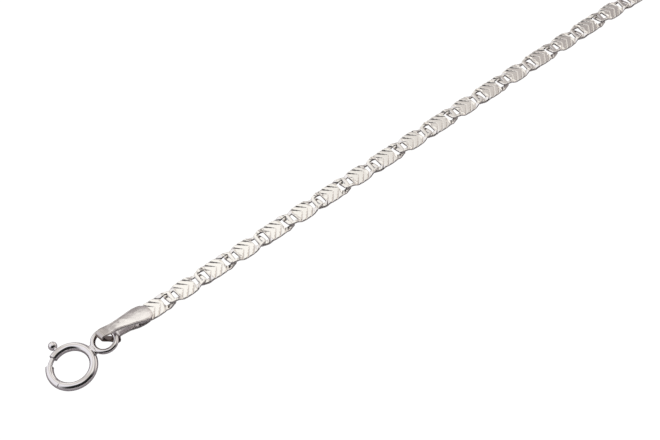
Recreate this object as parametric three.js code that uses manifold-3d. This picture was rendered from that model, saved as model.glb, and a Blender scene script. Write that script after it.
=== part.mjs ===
// Bracelet: a flat chain of engraved, lens-shaped links with a spring-ring clasp, laid out open.
// Millimetres, +Z up. The chain starts at the clasp, runs straight along +X, then turns back in a
// half circle. The origin is the middle of the finished object's footprint, on the surface below it.
import * as THREE from "three";
import { mergeVertices } from "three/addons/utils/BufferGeometryUtils.js";
import Module from "manifold-3d";

const wasm = await Module();
wasm.setup();

const DEGREE = Math.PI / 180;
const CHAIN_METAL = { color: 0xd6d3d0, roughness: 0.25 };
const CAP_METAL = { color: 0xcfcac4, roughness: 0.35 };
const CLASP_METAL = { color: 0xdcdade, roughness: 0.12 };

// The link: a thin plate with curved sides, blunt noses and two windows on either side of its web.
const LINK = {
  halfLength: 2.7,
  halfWidth: 1.26,
  sideRadius: 7.0,
  noseRadius: 0.4,
  thickness: 0.3,
  webHalf: 1.225,
  windowEnd: 2.275,
  windowHalfWidth: 0.62,
  windowShare: 0.62,
  betweenColumns: [1.75, 2.5],
  twist: 16.6 * DEGREE,
  twistFrom: 0.9,
  twistTo: 1.75,
  midHeight: 0.47,
};

// The chain: its straight run, its half-circle turn and the short run after it.
const CHAIN = {
  pitch: 4.45,
  turnPitch: 4.32,
  straightLinks: 20,
  turnJoints: 14,
  returnLinks: 2,
};

// The end cap: one strip folded into an upper and a lower leaf with an eye between them. Places
// are measured from the middle of the link that it grips, and it points away from the chain.
const CAP = {
  thickness: 0.25,
  leafEnd: 0.6,
  leafRadius: 1.22,
  lowerLeafRadius: 0.86,
  leafTipHalfWidth: 0.2,
  leafMarks: [0.15, 0.45],
  leafLevel: 1.9,
  lowerLeafLevel: 1.4,
  neckAt: 5.2,
  neckHalfWidth: 0.68,
  eyeHalfWidth: 0.6,
  legHalfWidth: 0.48,
  waistAt: 3.4,
  waistHalfWidth: 0.42,
  upperLeafRise: 18.5 * DEGREE,
  upperLeafLength: 7.2,
  eyeRadius: 0.4,
  legFall: 49 * DEGREE,
  heelRadius: 0.2,
  heelRise: 80 * DEGREE,
  shoulderHeight: 0.62,
  lowerLeafFall: 14 * DEGREE,
  toeRadius: 0.6,
  gap: 0.06,
  yaw: 4.4 * DEGREE,
  postRadius: 0.33,
  postAt: 1.75,
};

// The spring ring, with the small closed ring soldered to its chain side.
const CLASP = {
  radius: 2.53,
  tubeRadius: 0.49,
  smallRadius: 1.35,
  smallWireRadius: 0.31,
  solderOverlap: 0.05,
  centreFromLink: 12.0,
  sideways: -0.76,
  pitch: 9.3 * DEGREE,
  mouth: 112.5 * DEGREE,
  socket: 139 * DEGREE,
  socketDepth: 3 * DEGREE,
  channelRadius: 0.36,
  channelEnd: 40 * DEGREE,
  slotWidth: 0.52,
  slotReach: 0.6,
  slotMargin: 6 * DEGREE,
  cutPast: 2 * DEGREE,
};

// The gate: a curved rod that slides in the spring ring's tube, pushed by the knob on its stem.
const GATE = {
  rodRadius: 0.26,
  tail: 74 * DEGREE,
  tip: 141 * DEGREE,
  knobAt: 91 * DEGREE,
  knobRadius: 0.53,
  knobFromCentre: 3.68,
  stemRadius: 0.2,
  stroke: 29 * DEGREE,
};

// The jump ring at the far end, which lies with one side on the surface.
const JUMP = {
  radius: 2.2,
  wireRadius: 0.3,
  fromEyeFold: 0.68,
};

// ---------------------------------------------------------------- helpers for solids

// A closed mesh made of the given vertices and triangles.
function meshFrom(positions, triangles) {
  const geometry = new THREE.BufferGeometry();
  geometry.setAttribute("position", new THREE.Float32BufferAttribute(positions, 3));
  geometry.setIndex(triangles);
  return geometry;
}

// A geometry as a manifold solid, with its shared vertices merged.
function toSolid(geometry) {
  const bare = geometry.clone();
  bare.deleteAttribute("normal");
  bare.deleteAttribute("uv");
  const merged = mergeVertices(bare, 1e-5);
  return new wasm.Manifold(new wasm.Mesh({
    numProp: 3,
    vertProperties: new Float32Array(merged.attributes.position.array),
    triVerts: new Uint32Array(merged.index.array),
  }));
}

// A manifold solid as a geometry again.
function fromSolid(solid) {
  const mesh = solid.getMesh();
  return meshFrom(mesh.vertProperties, Array.from(mesh.triVerts));
}

// A circular arc in the XY plane, round the origin.
class Arc extends THREE.Curve {
  constructor(radius, from, to) {
    super();
    this.radius = radius;
    this.from = from;
    this.to = to;
  }

  getPoint(t, target = new THREE.Vector3()) {
    const angle = this.from + (this.to - this.from) * t;
    return target.set(this.radius * Math.cos(angle), this.radius * Math.sin(angle), 0);
  }
}

// A round rod bent along an arc.
function bentRod(radius, from, to, rodRadius, sides, steps) {
  const section = new THREE.Shape();
  for (let side = 0; side < sides; side += 1) {
    const angle = (side + 0.5) / sides * 2 * Math.PI;
    const x = rodRadius * Math.cos(angle);
    const y = rodRadius * Math.sin(angle);
    if (side === 0) section.moveTo(x, y);
    else section.lineTo(x, y);
  }
  section.closePath();
  return new THREE.ExtrudeGeometry(section, { steps, extrudePath: new Arc(radius, from, to) });
}

// A closed round ring in the XY plane, with its centre at the origin.
function closedRing(radius, wireRadius, sides, steps) {
  const profile = [];
  for (let side = 0; side <= sides; side += 1) {
    const angle = side / sides * 2 * Math.PI;
    profile.push(new THREE.Vector2(radius + wireRadius * Math.cos(angle), wireRadius * Math.sin(angle)));
  }
  return new THREE.LatheGeometry(profile, steps).rotateX(Math.PI / 2);
}

// ---------------------------------------------------------------- the link

// Half the width of a link at x: a side arc, then the rounded corner of the nose.
function linkHalfWidth(x) {
  const sideAt = (at) => LINK.halfWidth - LINK.sideRadius + Math.sqrt(LINK.sideRadius ** 2 - at ** 2);
  const cornerAt = LINK.halfLength - LINK.noseRadius;
  const reach = Math.abs(x) - cornerAt;
  if (reach <= 0) return sideAt(x);
  const corner = Math.sqrt(Math.max(0, LINK.noseRadius ** 2 - reach ** 2));
  return sideAt(cornerAt) - LINK.noseRadius + corner;
}

// How far a link's plate is twisted at x, from 0 on its web to 1 at its noses.
function twistShare(x) {
  return THREE.MathUtils.smoothstep(Math.abs(x), LINK.twistFrom, LINK.twistTo);
}

// A link, from a grid of cells that leaves out the two windows. startTwist and endTwist say which
// edge of each nose is raised: 1 the left one, -1 the right one, 0 neither.
function linkGeometry(startTwist, endTwist) {
  const [midWindow, midNose] = LINK.betweenColumns;
  const half = [0, LINK.webHalf, midWindow, LINK.windowEnd, midNose, LINK.halfLength];
  const columns = [...half.slice(1).reverse().map((x) => -x), ...half];
  const isWindow = (column, row) => {
    const middle = Math.abs(columns[column] + columns[column + 1]) / 2;
    return row === 1 && middle > LINK.webHalf && middle < LINK.windowEnd;
  };
  const isCell = (column, row) => column >= 0 && column < columns.length - 1
    && row >= 0 && row < 3 && !isWindow(column, row);

  const positions = [];
  columns.forEach((x) => {
    const outer = linkHalfWidth(x);
    const inner = Math.min(LINK.windowHalfWidth, outer * LINK.windowShare);
    const slope = (x < 0 ? startTwist : endTwist) * twistShare(x) * Math.tan(LINK.twist);
    [-outer, -inner, inner, outer].forEach((y) => {
      positions.push(x, y, slope * y - LINK.thickness / 2);
      positions.push(x, y, slope * y + LINK.thickness / 2);
    });
  });
  const vertex = (column, row, top) => (column * 4 + row) * 2 + top;
  const triangles = [];
  const quad = (a, b, c, d) => triangles.push(a, b, c, a, c, d);
  for (let column = 0; column < columns.length - 1; column += 1) {
    for (let row = 0; row < 3; row += 1) {
      if (!isCell(column, row)) continue;
      const corner = (right, far, top) => vertex(column + right, row + far, top);
      quad(corner(0, 0, 1), corner(1, 0, 1), corner(1, 1, 1), corner(0, 1, 1));
      quad(corner(0, 0, 0), corner(0, 1, 0), corner(1, 1, 0), corner(1, 0, 0));
      const wall = (from, to) => {
        quad(corner(...from, 0), corner(...to, 0), corner(...to, 1), corner(...from, 1));
      };
      if (!isCell(column, row - 1)) wall([0, 0], [1, 0]);
      if (!isCell(column, row + 1)) wall([1, 1], [0, 1]);
      if (!isCell(column - 1, row)) wall([0, 1], [0, 0]);
      if (!isCell(column + 1, row)) wall([1, 0], [1, 1]);
    }
  }
  return meshFrom(positions, triangles);
}

// Where each link lies: its middle and its heading, from the clasp to the far end.
function chainPlaces() {
  const count = CHAIN.straightLinks + CHAIN.turnJoints + CHAIN.returnLinks;
  const places = [{ x: 0, y: 0, heading: 0 }];
  for (let link = 1; link < count; link += 1) {
    const last = places[link - 1];
    const turns = link >= CHAIN.straightLinks && link < CHAIN.straightLinks + CHAIN.turnJoints;
    const turn = turns ? Math.PI / CHAIN.turnJoints : 0;
    const pitch = turns ? CHAIN.turnPitch : CHAIN.pitch;
    const heading = last.heading + turn;
    places.push({
      x: last.x + pitch / 2 * (Math.cos(last.heading) + Math.cos(heading)),
      y: last.y + pitch / 2 * (Math.sin(last.heading) + Math.sin(heading)),
      heading,
    });
  }
  return places;
}

// ---------------------------------------------------------------- the end cap

// Half the width of a leaf at a distance from its rounded end, narrowing from the level that the
// round reaches to the given half width.
function leafHalfWidth(distance, radius, level, narrowAt, narrowHalfWidth) {
  if (distance < radius) {
    return Math.max(CAP.leafTipHalfWidth, Math.sqrt(radius ** 2 - (radius - distance) ** 2));
  }
  const narrowing = THREE.MathUtils.clamp((distance - level) / (narrowAt - level), 0, 1);
  return THREE.MathUtils.lerp(radius, narrowHalfWidth, narrowing);
}

function upperLeafHalfWidth(distance) {
  return leafHalfWidth(distance, CAP.leafRadius, CAP.leafLevel, CAP.neckAt, CAP.neckHalfWidth);
}

function lowerLeafHalfWidth(distance) {
  return leafHalfWidth(distance, CAP.lowerLeafRadius, CAP.lowerLeafLevel, CAP.waistAt, CAP.waistHalfWidth);
}

// Where the upper leaf's middle line starts, seen from the side.
function upperLeafStart() {
  return { x: -CAP.leafEnd, z: LINK.thickness / 2 + CAP.gap + CAP.thickness / 2 };
}

// A place in the cap's eye seen from the side, a distance out of the fold towards the open leaves.
function placeInEye(distance) {
  const start = upperLeafStart();
  const between = (CAP.upperLeafRise + CAP.legFall) / 2;
  const foldX = start.x - CAP.upperLeafLength * Math.cos(CAP.upperLeafRise)
    - CAP.eyeRadius * Math.sin(CAP.upperLeafRise);
  const foldZ = start.z + CAP.upperLeafLength * Math.sin(CAP.upperLeafRise)
    - CAP.eyeRadius * Math.cos(CAP.upperLeafRise);
  return { x: foldX + distance * Math.cos(between), z: foldZ - distance * Math.sin(between) };
}

// The middle line of the strip seen from the side, with its direction and half width. From the
// rounded end of the upper leaf it goes round the eye and down a leg to the heel, up to the lower
// leaf's shoulder, and down that leaf until it lies level under the link.
function capStations() {
  const lowerLevel = CAP.thickness / 2 - LINK.midHeight;
  const stations = [];
  let { x, z } = upperLeafStart();
  let heading = Math.PI - CAP.upperLeafRise;
  const mark = (halfWidth) => stations.push({ x, z, heading, halfWidth });
  const goStraight = (length, marks, halfWidthAt) => {
    let done = 0;
    marks.concat(length).forEach((distance) => {
      x += (distance - done) * Math.cos(heading);
      z += (distance - done) * Math.sin(heading);
      done = distance;
      mark(halfWidthAt(distance));
    });
  };
  const bend = (radius, turn, steps, halfWidthAt) => {
    const side = Math.sign(turn);
    for (let step = 1; step <= steps; step += 1) {
      const next = heading + turn / steps;
      x += side * radius * (Math.sin(next) - Math.sin(heading));
      z += side * radius * (Math.cos(heading) - Math.cos(next));
      heading = next;
      mark(halfWidthAt(radius * Math.abs(turn) * step / steps));
    }
  };
  mark(upperLeafHalfWidth(0));
  goStraight(CAP.upperLeafLength, [...CAP.leafMarks, CAP.leafRadius, CAP.leafLevel, CAP.neckAt],
    upperLeafHalfWidth);
  bend(CAP.eyeRadius, Math.PI + CAP.upperLeafRise - CAP.legFall, 8, () => CAP.eyeHalfWidth);

  const heelDrop = CAP.heelRadius * (1 - Math.cos(CAP.legFall));
  const leg = (z - lowerLevel - heelDrop) / Math.sin(CAP.legFall);
  goStraight(leg, [leg / 2], (distance) => (distance < leg ? CAP.legHalfWidth : CAP.eyeHalfWidth));
  bend(CAP.heelRadius, CAP.legFall + CAP.heelRise, 5, () => CAP.eyeHalfWidth);
  const heelGain = CAP.heelRadius * (1 - Math.cos(CAP.heelRise));
  goStraight((CAP.shoulderHeight - 2 * heelGain) / Math.sin(CAP.heelRise), [], () => CAP.waistHalfWidth);
  const fall = CAP.lowerLeafFall;
  bend(CAP.heelRadius, -CAP.heelRise - fall, 4, () => CAP.waistHalfWidth);

  const down = (z - lowerLevel - CAP.toeRadius * (1 - Math.cos(fall))) / Math.sin(fall);
  const toe = CAP.toeRadius * fall;
  const level = -CAP.leafEnd - x - down * Math.cos(fall) - CAP.toeRadius * Math.sin(fall);
  goStraight(down, [down + toe + level - CAP.waistAt],
    (distance) => lowerLeafHalfWidth(down + toe + level - distance));
  bend(CAP.toeRadius, fall, 2, (distance) => lowerLeafHalfWidth(toe + level - distance));
  const marks = [...CAP.leafMarks, CAP.lowerLeafRadius, CAP.lowerLeafLevel].reverse();
  goStraight(level, marks.map((at) => level - at), (distance) => lowerLeafHalfWidth(level - distance));
  return stations;
}

// The cap: the folded strip, with the post that holds its leaves together through the link's window.
function capGeometry() {
  const stations = capStations();
  const positions = [];
  stations.forEach(({ x, z, heading, halfWidth }) => {
    const offX = -Math.sin(heading) * CAP.thickness / 2;
    const offZ = Math.cos(heading) * CAP.thickness / 2;
    positions.push(x + offX, -halfWidth, z + offZ, x + offX, halfWidth, z + offZ);
    positions.push(x - offX, halfWidth, z - offZ, x - offX, -halfWidth, z - offZ);
  });
  const triangles = [];
  for (let station = 0; station < stations.length - 1; station += 1) {
    for (let side = 0; side < 4; side += 1) {
      const a = station * 4 + side;
      const b = station * 4 + (side + 1) % 4;
      triangles.push(a, b + 4, b, a, a + 4, b + 4);
    }
  }
  const last = (stations.length - 1) * 4;
  triangles.push(0, 1, 2, 0, 2, 3, last, last + 2, last + 1, last, last + 3, last + 2);
  const strip = toSolid(meshFrom(positions, triangles));

  const foot = CAP.thickness / 2 - LINK.midHeight;
  const head = upperLeafStart().z + (CAP.postAt - CAP.leafEnd) * Math.tan(CAP.upperLeafRise);
  const post = new THREE.CylinderGeometry(CAP.postRadius, CAP.postRadius, head - foot, 8);
  post.rotateX(Math.PI / 2).translate(-CAP.postAt, 0, (head + foot) / 2);
  return fromSolid(strip.add(toSolid(post)));
}

// ---------------------------------------------------------------- the clasp

// The spring ring's tube, hollow and slotted where the gate slides, with the small ring on it.
function springRingGeometry() {
  const tube = toSolid(bentRod(CLASP.radius, CLASP.socket, CLASP.mouth + 2 * Math.PI,
    CLASP.tubeRadius, 12, 36));
  const channel = toSolid(bentRod(CLASP.radius, CLASP.channelEnd, CLASP.mouth + CLASP.cutPast,
    CLASP.channelRadius, 8, 9));
  const socket = toSolid(bentRod(CLASP.radius, CLASP.socket - CLASP.cutPast,
    CLASP.socket + CLASP.socketDepth, CLASP.channelRadius, 8, 1));

  const slotShape = new THREE.Shape();
  slotShape.moveTo(-CLASP.slotReach / 2, -CLASP.slotWidth / 2);
  slotShape.lineTo(CLASP.slotReach / 2, -CLASP.slotWidth / 2);
  slotShape.lineTo(CLASP.slotReach / 2, CLASP.slotWidth / 2);
  slotShape.lineTo(-CLASP.slotReach / 2, CLASP.slotWidth / 2);
  slotShape.closePath();
  const slotPath = new Arc(CLASP.radius + CLASP.slotReach / 2,
    GATE.knobAt - GATE.stroke - CLASP.slotMargin, GATE.knobAt + CLASP.slotMargin);
  const slot = toSolid(new THREE.ExtrudeGeometry(slotShape, { steps: 6, extrudePath: slotPath }));

  const small = closedRing(CLASP.smallRadius, CLASP.smallWireRadius, 8, 22);
  small.translate(smallRingReach(), 0, 0);
  return fromSolid(tube.subtract(channel).subtract(socket).subtract(slot).add(toSolid(small)));
}

// The distance between the centres of the two soldered rings.
function smallRingReach() {
  return CLASP.radius + CLASP.tubeRadius + CLASP.smallWireRadius + CLASP.smallRadius - CLASP.solderOverlap;
}

// The gate's rod, stem and knob.
function gateGeometry() {
  const rod = toSolid(bentRod(CLASP.radius, GATE.tail, GATE.tip, GATE.rodRadius, 8, 9));
  const stemLength = GATE.knobFromCentre - CLASP.radius;
  const stem = new THREE.CylinderGeometry(GATE.stemRadius, GATE.stemRadius, stemLength, 8);
  stem.rotateZ(-Math.PI / 2).translate(CLASP.radius + stemLength / 2, 0, 0);
  const knob = new THREE.SphereGeometry(GATE.knobRadius, 12, 8);
  knob.rotateZ(-Math.PI / 2).translate(GATE.knobFromCentre, 0, 0);
  const handle = toSolid(stem).add(toSolid(knob));
  return fromSolid(rod.add(toSolid(fromSolid(handle).rotateZ(GATE.knobAt))));
}

// ---------------------------------------------------------------- the assembly

const chainMetal = new THREE.MeshStandardMaterial({ metalness: 1, ...CHAIN_METAL });
const capMetal = new THREE.MeshStandardMaterial({ metalness: 1, ...CAP_METAL });
const claspMetal = new THREE.MeshStandardMaterial({ metalness: 1, ...CLASP_METAL });

function piece(name, geometry, material) {
  const mesh = new THREE.Mesh(geometry, material);
  mesh.name = name;
  return mesh;
}

function place(object, at) {
  object.position.set(at.x, at.y, LINK.midHeight);
  object.rotation.z = at.heading;
  return object;
}

function buildChain(places) {
  const chain = new THREE.Group();
  places.forEach((at, link) => {
    const side = link % 2 === 0 ? 1 : -1;
    const startTwist = link === 0 ? 0 : side;
    const endTwist = link === places.length - 1 ? 0 : side;
    const name = `link_${String(link + 1).padStart(2, "0")}`;
    chain.add(place(piece(name, linkGeometry(startTwist, endTwist), chainMetal), at));
  });
  return chain;
}

// A cap with whatever hangs in its eye, swung a little out of line with its link.
function buildCap(name, ...hanging) {
  const cap = new THREE.Group();
  cap.add(piece(name, capGeometry(), capMetal), ...hanging);
  cap.rotation.z = CAP.yaw;
  return cap;
}

// The clasp's parts share a frame with the ring's centre as origin and its plane as XY.
function buildClasp() {
  const clasp = new THREE.Group();
  clasp.add(piece("spring_ring", springRingGeometry(), claspMetal));
  clasp.add(piece("gate", gateGeometry(), claspMetal));
  const lift = CLASP.tubeRadius + CLASP.radius * Math.sin(CLASP.pitch) - LINK.midHeight;
  clasp.position.set(-CLASP.centreFromLink, CLASP.sideways, lift);
  clasp.rotation.y = -CLASP.pitch;
  return clasp;
}

// The jump ring passes through the cap's eye and leans down to the surface.
function buildJumpRing() {
  const ring = piece("jump_ring", closedRing(JUMP.radius, JUMP.wireRadius, 8, 24), claspMetal);
  const eye = placeInEye(JUMP.fromEyeFold);
  const lean = Math.asin((eye.z + LINK.midHeight - JUMP.wireRadius) / (2 * JUMP.radius));
  const reach = JUMP.radius * Math.cos(lean);
  ring.position.set(eye.x - reach, 0, eye.z - JUMP.radius * Math.sin(lean));
  ring.rotation.y = -lean;
  return ring;
}

const places = chainPlaces();
const claspEnd = place(new THREE.Group(), places[0]);
claspEnd.add(buildCap("clasp_end_cap"), buildClasp());

const lastPlace = places[places.length - 1];
const farEnd = place(new THREE.Group(), { ...lastPlace, heading: lastPlace.heading + Math.PI });
farEnd.add(buildCap("far_end_cap", buildJumpRing()));

const layout = new THREE.Group();
layout.add(buildChain(places), claspEnd, farEnd);

const bracelet = new THREE.Group();
bracelet.add(layout);
bracelet.updateMatrixWorld(true);
const box = new THREE.Box3().setFromObject(bracelet, true);
layout.position.set(-(box.min.x + box.max.x) / 2, -(box.min.y + box.max.y) / 2, -box.min.z);

export default bracelet;
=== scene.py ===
"""Bracelet: a flat chain of engraved lens-shaped plates, its two folded end caps, a spring-ring clasp
with a sliding gate, and a jump ring.

Every piece is worked out in millimetres from the sizes below and turned to metres when its mesh is
made. The chain starts at the clasp, runs straight along +X and then turns back in a half circle.
"""

from math import asin, cos, pi, radians, sin, tan

import bpy
import numpy as np
from mathutils import Matrix, Vector


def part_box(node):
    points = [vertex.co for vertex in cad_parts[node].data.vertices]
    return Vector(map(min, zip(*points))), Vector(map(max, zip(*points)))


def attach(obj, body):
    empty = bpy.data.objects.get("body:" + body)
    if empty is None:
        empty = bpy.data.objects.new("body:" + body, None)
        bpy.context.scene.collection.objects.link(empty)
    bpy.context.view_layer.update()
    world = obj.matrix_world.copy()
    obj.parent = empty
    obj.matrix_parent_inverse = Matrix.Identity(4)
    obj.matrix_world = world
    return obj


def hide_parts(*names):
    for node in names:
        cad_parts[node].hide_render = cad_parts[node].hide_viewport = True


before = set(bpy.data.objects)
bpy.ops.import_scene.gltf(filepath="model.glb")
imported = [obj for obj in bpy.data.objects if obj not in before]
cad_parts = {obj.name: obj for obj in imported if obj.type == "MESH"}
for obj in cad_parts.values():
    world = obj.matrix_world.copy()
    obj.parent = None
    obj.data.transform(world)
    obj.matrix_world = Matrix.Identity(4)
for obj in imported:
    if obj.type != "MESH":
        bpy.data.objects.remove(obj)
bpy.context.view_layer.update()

MM = 0.001

# The link, with the same outline and twist as its solid, and slightly smaller windows.
LINK_HALF_LENGTH = 2.7
LINK_HALF_WIDTH = 1.26
LINK_SIDE_RADIUS = 7.0
LINK_NOSE_RADIUS = 0.4
LINK_THICKNESS = 0.3
LINK_TOP_ROUND, LINK_LOW_ROUND = 0.12, 0.14
WINDOW_ROUND = 0.06
LINK_ROUND_STEPS = (0.0, 0.12, 0.32, 0.6, 0.82)
LINK_CROWN = 0.03
LINK_MID_HEIGHT = 0.47
WINDOW_NEAR = 1.27
WINDOW_FAR = 2.24
WINDOW_HALF_WIDTH = 0.57
WINDOW_SHARE = 0.57
TWIST = radians(16.6)
TWIST_FROM, TWIST_TO = 0.9, 1.75

# The engraving: chevrons cut right along the chain after it was rolled flat, deepest at the rims.
CHEVRON_PITCH = 0.8174
CHEVRON_START = 4.2
CHEVRON_SLOPE = 1 / tan(radians(47))
CUT_DEPTH = 0.115
CUT_HALF_WIDTH = 0.21
CUT_STEPS = 18
CUT_REACH = 0.6

# Where the cuts grow shallower. On a nose it happens between two places along the link, and only
# close to its middle line, between two distances from that line. On the arms beside a window it
# happens between two places along the link. Each loss is the share of the depth that goes.
NOSE_FROM, NOSE_TO, NOSE_SIDE, NOSE_MIDDLE, NOSE_LOSS = 2.1, 2.45, 0.8, 0.5, 0.9
ARM_FROM, ARM_TO, ARM_LOSS = 1.3, 1.9, 0.7

# The chain's route.
PITCH = 4.45
TURN_PITCH = 4.32
STRAIGHT_LINKS = 20
TURN_JOINTS = 14
RETURN_LINKS = 2

# The end cap: one strip folded round an eye, seen from the middle of the link that it grips.
CAP_THICKNESS = 0.25
CAP_LEAF_END = 0.6
CAP_GAP = 0.06
CAP_RISE = radians(18.5)
CAP_UPPER_LENGTH = 7.2
CAP_EYE_RADIUS = 0.4
CAP_LEG_FALL = radians(49)
CAP_HEEL_RADIUS = 0.2
CAP_HEEL_RISE = radians(80)
CAP_SHOULDER = 0.62
CAP_LOWER_FALL = radians(14)
CAP_TOE_RADIUS = 0.6
CAP_YAW = radians(4.4)
CAP_UPPER_ROUND, CAP_LOWER_ROUND = 1.22, 0.86
CAP_UPPER_LEVEL, CAP_LOWER_LEVEL = 1.9, 1.4
CAP_NECK_AT, CAP_NECK = 5.2, 0.68
CAP_WAIST_AT, CAP_WAIST = 3.4, 0.42
CAP_EYE_HALF, CAP_LEG_HALF = 0.6, 0.48
CAP_EYE_MARGIN = 0.2
CAP_EASING = 0.25
CAP_LEAF_EASING = 1.5
CAP_CROWN, CAP_BEVEL = 0.07, 0.32
CAP_DOME, CAP_DIP = 0.06, 0.06
CAP_DIP_FROM, CAP_DIP_TO = 5.0, 6.1
CAP_DIP_PAST_EYE = 0.5
CAP_LINE_POINTS = 6001
POST_RADIUS = 0.33
POST_AT = 1.75

# The caps' painted shade round the fold and under the upper leaf: how strong it is, and the
# # distances over which it comes in.
FOLD_TARNISH, FOLD_FAR, FOLD_NEAR = 0.4, 1.2, 0.5
LEG_TARNISH, LEG_BELOW, LEG_FULLY_BELOW, LEG_EASING = 0.9, 0.2, 0.5, 0.1

# The spring ring, its small ring and its gate, in a frame whose origin is the ring's centre.
RING_RADIUS = 2.53
TUBE_RADIUS = 0.49
TUBE_LIP = 0.05
CHANNEL_RADIUS = 0.36
MOUTH, SOCKET, CHANNEL_END = radians(112.5), radians(139), radians(40)
SOCKET_DEPTH = radians(3)
SLOT_FROM, SLOT_TO = radians(56), radians(97)
SLOT_HALF_ANGLE = radians(31)
SEAM_AT = radians(203)
SEAM_HALF_WIDTH, SEAM_DEPTH = 0.03, 0.02
SLEEVE_RADIUS = 0.478
SMALL_RADIUS = 1.35
SMALL_WIRE = 0.31
SOLDER_OVERLAP = 0.05
SOLDER_RADII = (0.36, 0.75, 0.36)
CLASP_BACK = 12.0
CLASP_SIDEWAYS = -0.76
CLASP_PITCH = radians(9.3)
ROD_RADIUS = 0.26
ROD_TAIL, ROD_TIP = radians(74), radians(141)
KNOB_AT = radians(91)
KNOB_RADIUS = 0.53
KNOB_FROM_CENTRE = 3.68
STEM_RADIUS = 0.2
ROD_STEPS = 24

# The jump ring at the far end.
JUMP_RADIUS = 2.2
JUMP_WIRE = 0.3
JUMP_FROM_FOLD = 0.68

# The studio light. All its levels are shares of LIGHT. The room's stops are places along the chain's
# own direction from -1 to 1, with the level there and a tint. Below the horizon is its tint, which
# fades into the room between the two heights. The window is a direction, the cosines at its outer and
# inner edge, its level and a tint. The viewer is a direction along the table, and then the cosines
# beside it where the dark is whole and where it ends, and the heights of its foot, knee, head and top.
LIGHT = 2.0
ROOM = [(-1.0, 0.47, "#fdfcff"), (-0.2, 0.50, "#fdfcff"), (-0.12, 0.47, "#fffcfa"),
        (0.0, 0.35, "#fffaf4"), (0.06, 0.33, "#fffaf0"), (0.14, 0.46, "#fffaf0"),
        (0.28, 0.54, "#fffefa"), (0.38, 0.54, "#fffefa"), (0.44, 0.46, "#fffdf8"),
        (0.50, 0.36, "#fffaf5"), (0.53, 0.29, "#fff8f4"), (0.56, 0.215, "#fff6f4"),
        (0.60, 0.17, "#fdf4f4"), (0.70, 0.18, "#fdf4f4"), (0.82, 0.40, "#fff8f0"),
        (0.94, 0.52, "#fff8f0"), (0.97, 0.42, "#fff8f0"), (1.0, 0.22, "#fff8f4")]
HORIZON = ("#ece8e6", -0.05, 0.05)
WINDOW = ((0.735, 0.431, 0.522), 0.976, 0.995, 0.62, "#fffdf8")
TO_VIEWER = (-0.342, -0.94)
VIEWER = (0.65, 0.12, 0.02, 0.09, 0.92, 0.97)
VIEWER_LEVEL = 0.01

# The floor's half width in metres, and how brightly it glows where the eye sees it.
FLOOR_HALF = 4.0
FLOOR_GLOW, FLOOR_GLOW_SHARE = 1.15, 0.9

# The camera: its axes, its place from the joint that it is aimed from, and its lens in millimetres.
CAMERA_RIGHT = (0.7634, -0.6459, 0.0)
CAMERA_UP = (0.5034, 0.5949, 0.6266)
CAMERA_LOOK = (0.4047, 0.4783, -0.7793)
CAMERA_JOINT, CAMERA_JOINT_HEIGHT = 1.5, 0.46
CAMERA_FROM_JOINT = (-64.84, -100.09, 158.04)
CAMERA_LENS = 92.07


# ---------------------------------------------------------------- meshes from arrays

def grid_triangles(ids, keep, slanted):
    """Two triangles for each kept cell of a grid of vertex numbers, cut along one diagonal or,
    where slanted, along the other."""
    a, b, c, d = ids[:-1, :-1], ids[1:, :-1], ids[1:, 1:], ids[:-1, 1:]
    plain, other = keep & ~slanted, keep & slanted
    parts = [(a, b, c, plain), (a, c, d, plain), (a, b, d, other), (b, c, d, other)]
    return np.concatenate([np.stack([p[m], q[m], r[m]], 1) for p, q, r, m in parts])


def skin(points):
    """The surface through a grid of points, whose first and last rows or columns may be equal.
    Returns its points and triangles."""
    rows, columns = points.shape[:2]
    ids = np.arange(rows * columns).reshape(rows, columns)
    keep = np.ones((rows - 1, columns - 1), bool)
    return points.reshape(-1, 3), grid_triangles(ids, keep, ~keep)


def wall(outer, inner, keep=None, slanted=None, round_it=False, open_start=False, open_end=False):
    """A wall between two grids of points: both surfaces, without the cells that aren't kept, and a
    narrow strip from one to the other along every edge that the kept cells leave bare. Round a tube
    the last column meets the first. An open start or end gets no strip, because the wall goes on."""
    rows, columns = outer.shape[:2]
    top = np.arange(rows * columns).reshape(rows, columns)
    low = top + rows * columns
    keep = np.ones((rows - 1, columns - 1), bool) if keep is None else keep
    slanted = np.zeros_like(keep) if slanted is None else slanted
    triangles = [grid_triangles(top, keep, slanted), grid_triangles(low, keep, slanted)[:, ::-1]]
    framed = np.pad(keep, 1)
    if round_it:
        framed[1:-1, 0], framed[1:-1, -1] = keep[:, -1], keep[:, 0]
    if open_start:
        framed[0, 1:-1] = keep[0]
    if open_end:
        framed[-1, 1:-1] = keep[-1]

    def strip(start, end, bare):
        a, b, c, d = low[start][bare], low[end][bare], top[end][bare], top[start][bare]
        triangles.append(np.concatenate([np.stack([a, b, c], 1), np.stack([a, c, d], 1)]))

    row, next_row = np.s_[:-1, :], np.s_[1:, :]
    column, next_column = np.s_[:, :-1], np.s_[:, 1:]
    right, left = framed[1:-1, 1:], framed[1:-1, :-1]
    strip(row, next_row, right & ~left)
    strip(next_row, row, left & ~right)
    after, before = framed[1:, 1:-1], framed[:-1, 1:-1]
    strip(next_column, column, after & ~before)
    strip(column, next_column, before & ~after)
    return np.concatenate([outer.reshape(-1, 3), inner.reshape(-1, 3)]), np.concatenate(triangles)


def joined(*surfaces):
    """Several surfaces as one: points within a ten-thousandth of a millimetre become one point, and
    triangles that this leaves without an area go."""
    points = np.concatenate([p for p, _ in surfaces])
    offsets = np.cumsum([0] + [len(p) for p, _ in surfaces[:-1]])
    triangles = np.concatenate([t + o for (_, t), o in zip(surfaces, offsets)])
    _, first, number = np.unique(np.round(points, 4), axis=0, return_index=True, return_inverse=True)
    triangles = number.reshape(-1)[triangles]
    a, b, c = triangles.T
    return points[first], triangles[(a != b) & (b != c) & (c != a)]


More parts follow.
